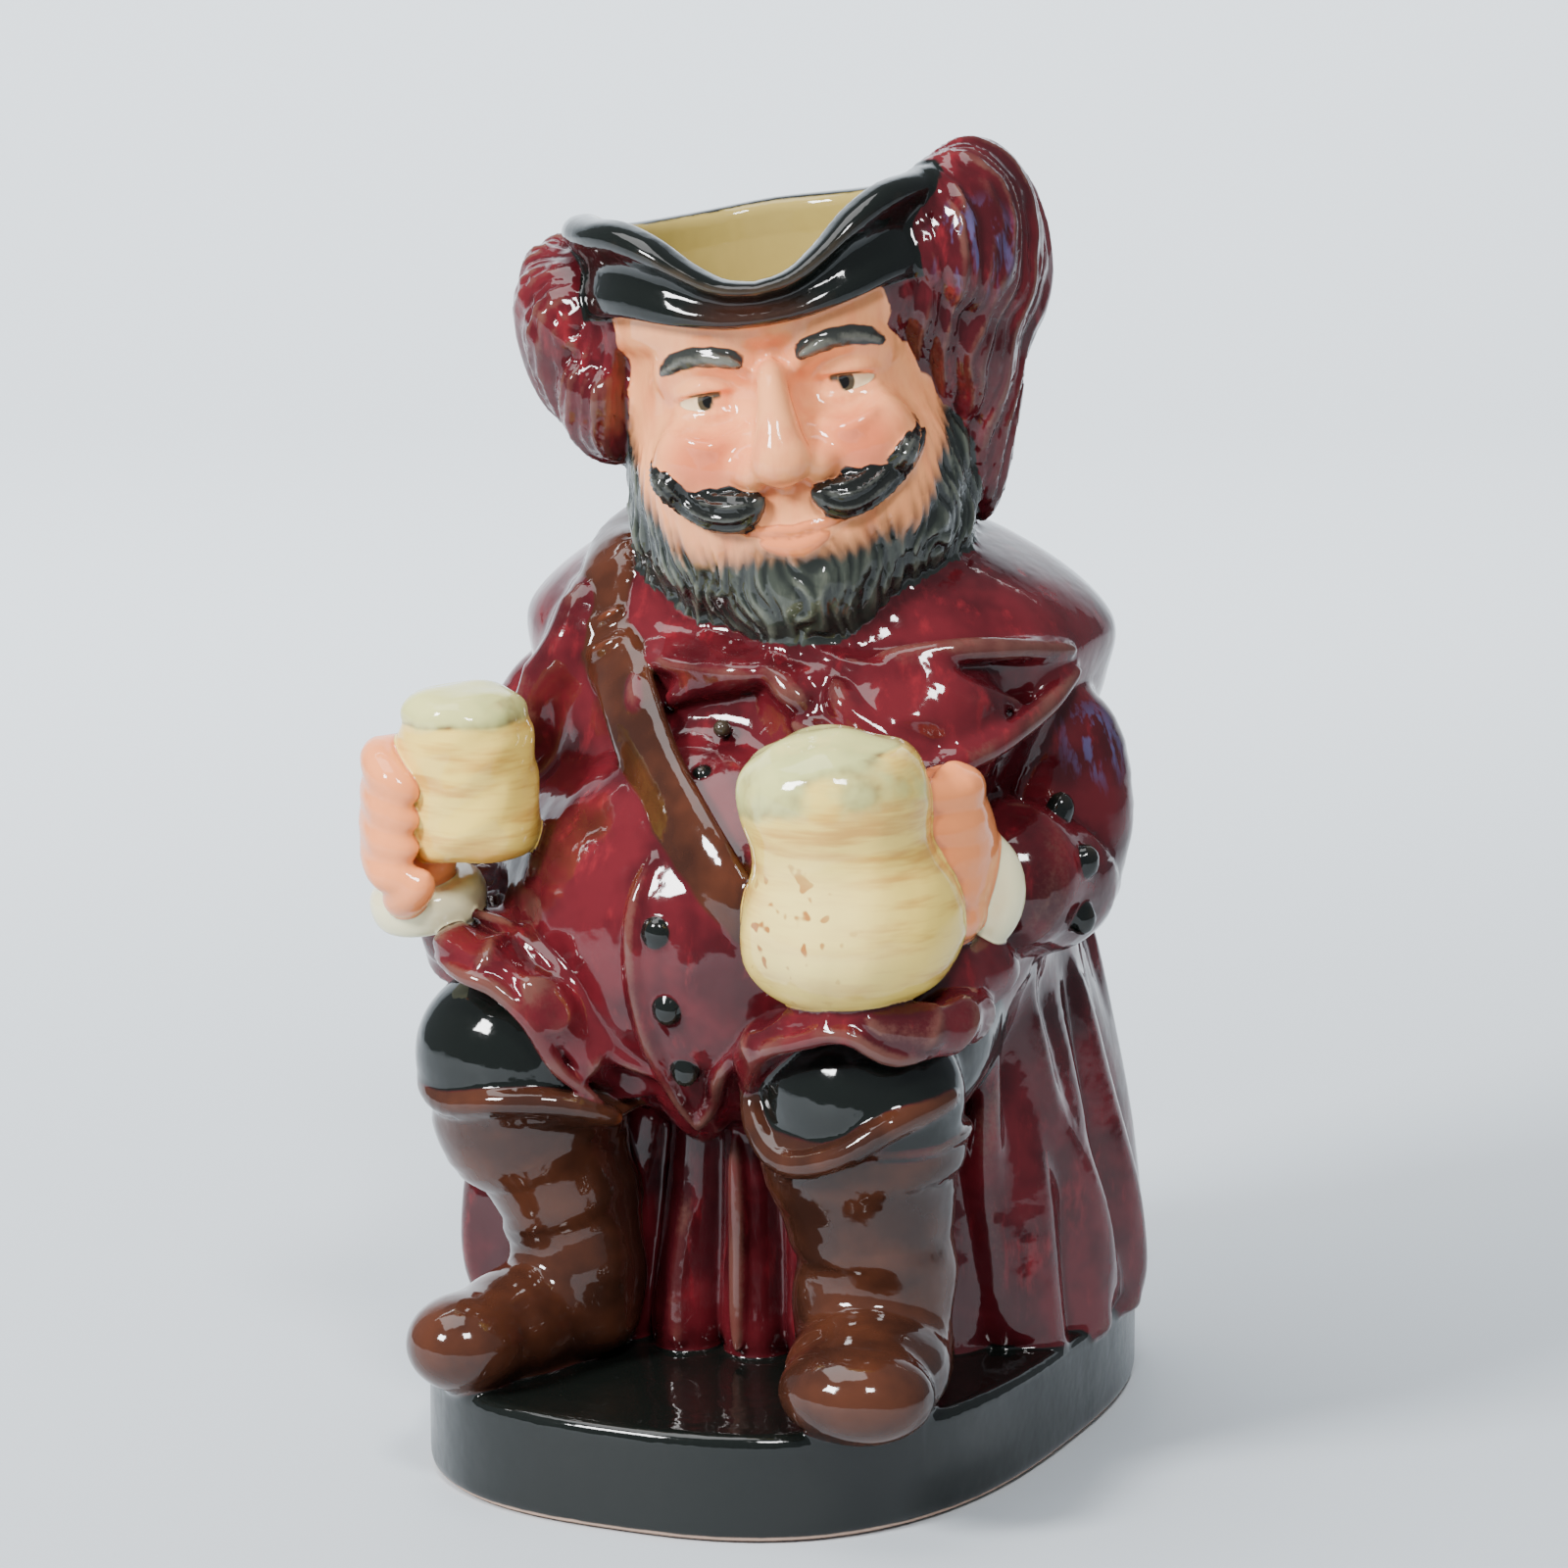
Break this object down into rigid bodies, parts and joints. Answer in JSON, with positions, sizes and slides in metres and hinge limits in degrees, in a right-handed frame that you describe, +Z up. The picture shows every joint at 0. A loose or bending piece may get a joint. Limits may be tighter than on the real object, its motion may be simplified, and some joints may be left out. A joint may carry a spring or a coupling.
{
  "type": "toby jug",
  "caption": "Hollow glazed toby jug: a stout cavalier sits on an oval base with a mug in each hand, the turned-up plumed hat is the mouth, a loop handle stands behind.",
  "frame": {"origin": "middle of the flat underside of the base", "axes": "+Z up to the hat, -Y the way the figure faces, +X towards the figure's left hand"},
  "size_m": [0.1145, 0.143, 0.2143],
  "materials": {
    "glazed_earthenware": "hand-painted underglaze colours in burgundy, brown, black, cream and flesh under a clear high-gloss glaze"
  },
  "bodies": {
    "root": {"jug": "glazed_earthenware"}
  },
  "joints": []
}
